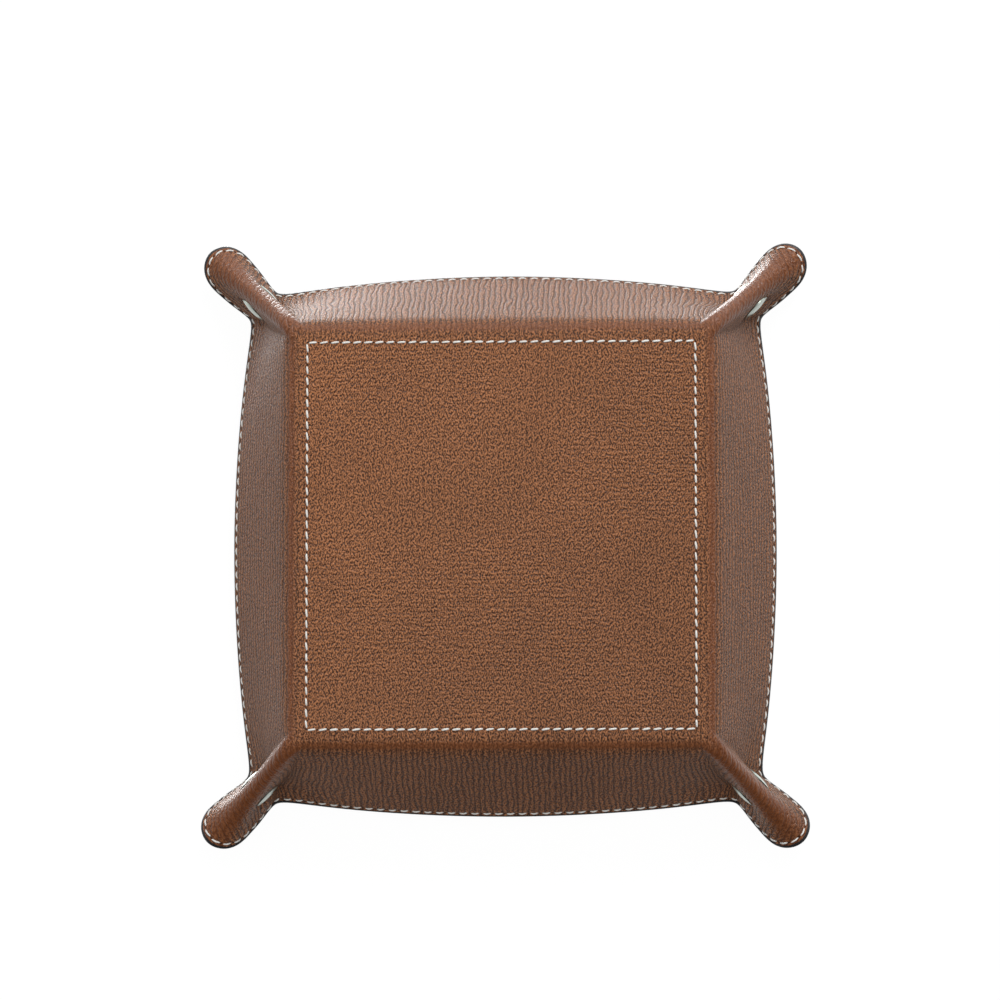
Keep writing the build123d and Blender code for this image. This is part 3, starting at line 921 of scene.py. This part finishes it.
def ear_frame(corner):
    """Hinge point, and directions up from the ridge, along the side and across to the lip."""
    x, y = CORNERS[corner]
    outward = Vector((x, y, 0)).normalized()
    across = Vector((-x, y, 0)).normalized()
    along = outward * cos(HINGE_SLOPE) + Vector((0, 0, sin(HINGE_SLOPE)))
    raised = Vector((0, 0, cos(HINGE_SLOPE))) - outward * sin(HINGE_SLOPE)
    hinge = Vector((x * FOLD_HALF, y * FOLD_HALF, HINGE_UP)) + outward * HINGE_OUT
    return hinge, raised, (along - across).normalized(), across


def lip_of(place):
    """The corner and the fade (a or b) that a place belongs to, or None for the resting sheet."""
    for corner in CORNERS:
        hinge, raised, sideways, across = ear_frame(corner)
        offset = place - hinge
        a = (offset.dot(raised) - RIDGE_FADE[0]) / (RIDGE_FADE[1] - RIDGE_FADE[0])
        b = (offset.dot(sideways) - SIDE_FADE[0]) / (SIDE_FADE[1] - SIDE_FADE[0])
        if offset.dot(across) > 0 and a > 0 and b > 0:
            return corner, ("a" if a <= b else "b")
    return None


# %% Cuts along the borders of the moving lips
CUT_BEHIND = -0.0005
CUT_ASIDE = -0.034
CUT_REACH = 0.08
CUT_SNAP = 0.000002


def cut_ears(bm):
    """Cut a mesh along the borders of the moving lips."""
    for corner in CORNERS:
        hinge, raised, sideways, across = ear_frame(corner)
        on_ridge = hinge + raised * RIDGE_FADE[0]
        equal = raised / (RIDGE_FADE[1] - RIDGE_FADE[0]) - sideways / (SIDE_FADE[1] - SIDE_FADE[0])
        for point, normal in (
            (on_ridge, raised),
            (hinge + sideways * SIDE_FADE[0], sideways),
            (on_ridge + sideways * SIDE_FADE[0], equal.normalized()),
        ):
            near = []
            for face in bm.faces:
                offset = face.calc_center_median() - hinge
                beside = offset.dot(across) > CUT_BEHIND and offset.dot(sideways) > CUT_ASIDE
                if beside and offset.length < CUT_REACH:
                    near.append(face)
            edges = {edge for face in near for edge in face.edges}
            verts = {vert for face in near for vert in face.verts}
            parts = [*near, *edges, *verts]
            bmesh.ops.bisect_plane(bm, geom=parts, dist=CUT_SNAP, plane_co=point, plane_no=normal)


# %% [markdown]
# Cutting a smooth mesh in pieces leaves faint lines in its shading, because each piece then works
# out its own normals at the cut. So the whole skin's normals are kept as a layer before the cut and
# given back to each piece.

# %% Pieces of a sheet
def piece_from(bm, name, finish):
    """A mesh as an object, with the whole skin's normals where it has kept them."""
    mesh = bpy.data.meshes.new(name)
    bm.normal_update()
    bm.to_mesh(mesh)
    mesh.materials.append(finish)
    obj = bpy.data.objects.new(name, mesh)
    bpy.context.scene.collection.objects.link(obj)
    if "facing" in mesh.attributes:
        kept = [Vector(value.vector) for value in mesh.attributes["facing"].data]
        rim = [value.value for value in mesh.attributes["rim"].data]
        normals = []
        for polygon in mesh.polygons:
            for vertex in polygon.vertices:
                normals.append(polygon.normal if rim[polygon.index] else kept[vertex])
        mesh.normals_split_custom_set(normals)
        mesh.attributes.remove(mesh.attributes["facing"])
        mesh.attributes.remove(mesh.attributes["rim"])
    return obj


def piece_at(place, bm, name, finish):
    """A piece that rests with the tray, or a piece of a moving lip, left where it lies."""
    if place is None:
        obj = piece_from(bm, name, finish)
        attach(obj, "tray")
        return obj
    corner, fade = place
    obj = piece_from(bm, f"{name}_{corner}_lip_{fade}", finish)
    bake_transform(obj)
    return obj


def give_to_bodies(bm, name, finish, finishing):
    """Split a mesh into the resting piece and the lips' pieces, and attach the resting piece to the
    tray.
    """
    cut_ears(bm)
    bm.faces.index_update()
    places = {}
    for face in bm.faces:
        places.setdefault(lip_of(face.calc_center_median()), set()).add(face.index)
    for place, keep in places.items():
        part = bm.copy()
        part.faces.ensure_lookup_table()
        others = [face for face in part.faces if face.index not in keep]
        bmesh.ops.delete(part, geom=others, context="FACES")
        finishing(piece_at(place, part, name, finish))
        part.free()
    print(name, "faces:", len(bm.faces), "pieces:", len(places))
    bm.free()


# %% [markdown]
# ## Outer leather and lining
# Each layer is two skins, with their rims bridged. The outer leather is the side that the picture
# shows. The lining lies inside it and covers the stiffening board with a raised panel.

# %% A layer of the sheet
def layer(outer, inner):
    """Two skins with bridged rims, which keep their normals from before any cut."""
    bm = bmesh.new()
    sheet = bm.verts.layers.float_vector.new("sheet")
    stretched = bm.verts.layers.float.new("stretched")
    facing = bm.verts.layers.float_vector.new("facing")
    rim = bm.faces.layers.int.new("rim")
    skin(bm, outer, sheet, stretched)
    skin(bm, inner, sheet, stretched)
    bm.normal_update()
    for vert in bm.verts:
        vert[facing] = vert.normal
    borders = [edge for edge in bm.edges if edge.is_boundary]
    for face in bmesh.ops.bridge_loops(bm, edges=borders)["faces"]:
        face[rim] = 1
    for face in bm.faces:
        face.smooth = True
    bmesh.ops.recalc_face_normals(bm, faces=[face for face in bm.faces if face[rim]])
    return bm


def finish_leather(obj):
    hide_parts("outer_leather")


def finish_lining(obj):
    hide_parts("lining")


give_to_bodies(layer(OUTSIDE, LEATHER_BACK), "tan_leather", OUTER_FINISH, finish_leather)
give_to_bodies(layer(LINING_BACK, INSIDE), "lining_sheet", LINING_FINISH, finish_lining)

# %% [markdown]
# ## Painted edge
# The paint covers the cut edge of both layers in one rounded bead, and wraps over the faces by a
# hair. It is made like a skin: a grid whose one direction goes round the bead and whose other runs
# along the rim.

# %% Bead of paint
BEAD_COVER = 0.00004
BEAD_MIDDLE = (LEATHER - GLUE_LINE - LINING) / 2
BEAD_HALF = (LEATHER + GLUE_LINE + LINING) / 2 + BEAD_COVER
BEAD_BULGE, BULGE_ROUNDNESS = 0.00130, 0.9
BEAD_WRAP, WRAP_ROUNDNESS = 0.00085, 0.25
BEAD_STEPS = 16


def bead_point(j, angle):
    """A point at an angle round the bead, whose first half turn lies beyond the rim."""
    along, upward, outward = directions(RIM_ROW, COLUMN_STEPS[j])
    rise = outward.cross(along).normalized()
    if rise.dot(upward) < 0:
        rise = -rise
    length, roundness = BEAD_WRAP, WRAP_ROUNDNESS
    if sin(angle) > 0:
        length, roundness = BEAD_BULGE, BULGE_ROUNDNESS
    across = BEAD_HALF * (1 if cos(angle) > 0 else -1) * abs(cos(angle)) ** roundness
    point = on_net(FOLDED, RIM_ROW, COLUMN_STEPS[j]) + outward * (BEAD_MIDDLE + across)
    return on_mirror_planes(point + rise * (length * sin(angle)), j)


def edge_bead():
    """The bead all the way round the rim."""
    bm = bmesh.new()
    sheet = bm.verts.layers.float_vector.new("sheet")
    columns = len(COLUMN_STEPS) - 1
    made = bmesh.ops.create_grid(bm, x_segments=BEAD_STEPS, y_segments=columns, size=0.5)["verts"]
    for vert in made:
        j = round((vert.co.y + 0.5) * columns)
        vert.co = bead_point(j, 2 * pi * (vert.co.x + 0.5))
    turned_copies(bm, made, faces_of(made), sheet)
    bmesh.ops.remove_doubles(bm, verts=bm.verts, dist=SAME_POINT / 2)
    bmesh.ops.recalc_face_normals(bm, faces=bm.faces)
    for face in bm.faces:
        face.smooth = True
    bm.verts.layers.float_vector.remove(sheet)
    return bm


def finish_edge(obj):
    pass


give_to_bodies(edge_bead(), "edge_paint", EDGE_FINISH, finish_edge)

# %% [markdown]
# ## Stitches
# White thread runs round the rim through both layers, and in a square round the board. Each stitch
# rises from one needle hole, arches over and dives into the next. One stitch is a small ring of six
# points, spun along an arc, and it is then placed again and again. It leans a little, as a saddle
# stitch does.

# %% One stitch, and the painted shade of one needle hole
STITCH_LONG = 0.0035
STITCH_THICK = 0.00038
STITCH_FLATNESS = 0.72
STITCH_TAPER = 0.35
STITCH_RISE = 0.00052
STITCH_SINK = 0.00032
STITCH_STEPS = 6
STITCH_LEAN = radians(7)
STITCH_WOBBLE = radians(3)
STRAND_SCALE = 5200
HOLE_HALF = 0.00040
HOLE_FLATNESS = 0.75
HOLE_LIFT = 0.00003


def stitch_shape():
    """A bent strand along X, rising along Z."""
    bm = bmesh.new()
    strand = bm.verts.layers.float_vector.new("strand")
    ring = bmesh.ops.create_circle(bm, segments=6, radius=STITCH_THICK)["verts"]
    half = STITCH_LONG / 2
    arch = STITCH_RISE + STITCH_SINK
    radius = (half**2 + arch**2) / (2 * arch)
    sweep = 2 * asin(half / radius)
    bmesh.ops.rotate(bm, verts=ring, matrix=Matrix.Rotation(pi / 2, 3, "Y"))
    bmesh.ops.scale(bm, verts=ring, vec=(1, 1, STITCH_FLATNESS))
    bmesh.ops.translate(bm, verts=ring, vec=(0, 0, radius))
    bmesh.ops.rotate(bm, verts=ring, matrix=Matrix.Rotation(-sweep / 2, 3, "Y"))
    whole = ring + list(bm.edges)
    bmesh.ops.spin(bm, geom=whole, angle=sweep, steps=STITCH_STEPS, axis=(0, 1, 0), cent=(0, 0, 0))
    lowered = STITCH_RISE - STITCH_THICK * STITCH_FLATNESS - radius
    bmesh.ops.translate(bm, verts=bm.verts, vec=(0, 0, lowered))
    bmesh.ops.holes_fill(bm, edges=[edge for edge in bm.edges if edge.is_boundary])
    bmesh.ops.recalc_face_normals(bm, faces=bm.faces)
    for vert in bm.verts:
        vert.co.y *= 1 - STITCH_TAPER * (abs(vert.co.x) / half) ** 3
        vert[strand] = vert.co * STRAND_SCALE
    for face in bm.faces:
        face.smooth = True
    return bm


def hole_shade_shape():
    """A small dark oval just above the leather: painted shade where a needle hole is."""
    bm = bmesh.new()
    bmesh.ops.create_circle(bm, cap_ends=True, segments=10, radius=HOLE_HALF)
    bmesh.ops.scale(bm, verts=bm.verts, vec=(1.0, HOLE_FLATNESS, 1))
    bmesh.ops.translate(bm, verts=bm.verts, vec=(0, 0, HOLE_LIFT))
    return bm


# %% [markdown]
# The rim's line of stitches lies a little inside the edge, measured over the leather. Walking along
# it in small steps gives its length, and the stitches share that length evenly.

# %% Places of the stitches on the rim
RIM_PITCH = 0.00445
SEAM_STEPS = 400
HALVINGS = 24


def seam_row(column):
    """The row of the net that lies SEAM_INSET inside the rim, found by halving."""
    edge = on_net(FOLDED, LAST_ROW, column)
    low, high = LAST_ROW - 1.5, float(LAST_ROW)
    for _ in range(HALVINGS):
        middle = (low + high) / 2
        if (on_net(FOLDED, middle, column) - edge).length > SEAM_INSET:
            low = middle
        else:
            high = middle
    return (low + high) / 2


def frame_at(place, along, outward):
    """A matrix whose X runs along the seam and whose Z points away from the leather."""
    across = outward.cross(along).normalized()
    along = across.cross(outward)
    turn = Matrix((along, across, outward)).transposed().to_4x4()
    return Matrix.Translation(place) @ turn


def rim_places(distance):
    """Stitch and hole places on half of the +X side."""
    side = 1 if distance > 0 else -1
    line, facings, lengths = [], [], [0.0]
    for k in range(SEAM_STEPS + 1):
        column = LAST_COLUMN * k / SEAM_STEPS
        row = seam_row(column)
        outward = directions(row, column)[2]
        place = on_net(FOLDED, row, column) + outward * (distance - SEAM_DEPTH * side)
        line.append(pressed(place, distance))
        facings.append(outward * side)
    for a, b in zip(line, line[1:]):
        lengths.append(lengths[-1] + (b - a).length)
    stitches = round(lengths[-1] / RIM_PITCH)
    pitch = lengths[-1] / stitches

    def at(length):
        k = max(1, min(SEAM_STEPS, bisect_left(lengths, length)))
        a, b = line[k - 1], line[k]
        share = (length - lengths[k - 1]) / (lengths[k] - lengths[k - 1])
        return frame_at(a.lerp(b, share), (b - a).normalized(), facings[k])

    middles = [at((n + 0.5) * pitch) for n in range(stitches)]
    holes = [at(n * pitch) for n in range(stitches + 1)]
    return middles, holes


def all_round(matrices):
    """Half a side's places, mirrored and turned to all eight half sides."""
    flip = Matrix.Diagonal((1, -1, 1))
    mirrored = []
    for matrix in matrices:
        along, outward = matrix.col[0].to_3d(), matrix.col[2].to_3d()
        mirrored.append(frame_at(flip @ matrix.translation, -(flip @ along), flip @ outward))
    side = matrices + mirrored
    return [Matrix.Rotation(k * pi / 2, 4, "Z") @ matrix for k in range(4) for matrix in side]


# %% Places of the stitches round the board
SQUARE_HALF = 0.0716
SQUARE_PITCH = 0.00409


def square_places(height, facing):
    """Stitch and hole places on the square, at a height and facing up or down."""
    count = round(2 * SQUARE_HALF / SQUARE_PITCH)
    pitch = 2 * SQUARE_HALF / count
    middles, holes = [], []
    for quarter in range(4):
        spin = Matrix.Rotation(quarter * pi / 2, 4, "Z")
        for n in range(count):
            for places, step in ((middles, n + 0.5), (holes, n)):
                place = Vector((SQUARE_HALF, -SQUARE_HALF + step * pitch, height))
                places.append(spin @ frame_at(place, Vector((0, 1, 0)), Vector((0, 0, facing))))
    return middles, holes


# %% [markdown]
# Each stitch belongs to one piece, by its middle: to the resting sheet or to a moving lip.

# %% Sew
def sewn(name, shape, matrices, finish, lean, wobble):
    """The shape at every place, each time a little different, as one piece for each lip."""
    groups = {}
    for matrix in matrices:
        groups.setdefault(lip_of(matrix.translation), []).append(matrix)
    template = bpy.data.meshes.new("template")
    for place, members in groups.items():
        bm = bmesh.new()
        for matrix in members:
            one = shape.copy()
            turn = Matrix.Rotation(lean + random.uniform(-wobble, wobble), 4, "Z")
            size = Matrix.Diagonal((random.uniform(0.95, 1.05), random.uniform(0.92, 1.08), 1, 1))
            bmesh.ops.transform(one, verts=one.verts, matrix=matrix @ turn @ size)
            one.to_mesh(template)
            one.free()
            bm.from_mesh(template)
        obj = piece_at(place, bm, name, finish)
        bm.free()
    bpy.data.meshes.remove(template)
    print(name, "stitches or holes:", len(matrices), "pieces:", len(groups))


seams = []
for name, distance in (("outer_rim", OUTSIDE), ("inner_rim", INSIDE)):
    middles, holes = rim_places(distance)
    seams.append((name, all_round(middles), all_round(holes)))
for name, height, facing in (("base", 0.0, -1), ("panel", LEATHER + GLUE_LINE + LINING, 1)):
    seams.append((name, *square_places(height, facing)))
stitch, hole = stitch_shape(), hole_shade_shape()
for name, middles, _ in seams:
    sewn(f"{name}_thread", stitch, middles, THREAD_FINISH, STITCH_LEAN, STITCH_WOBBLE)
for name, _, holes in seams:
    # The needle holes are dark ovals laid on the leather: painted shade.
    sewn(f"{name}_holes", hole, holes, HOLE_SHADE_FINISH, 0, 0)
stitch.free()
hole.free()
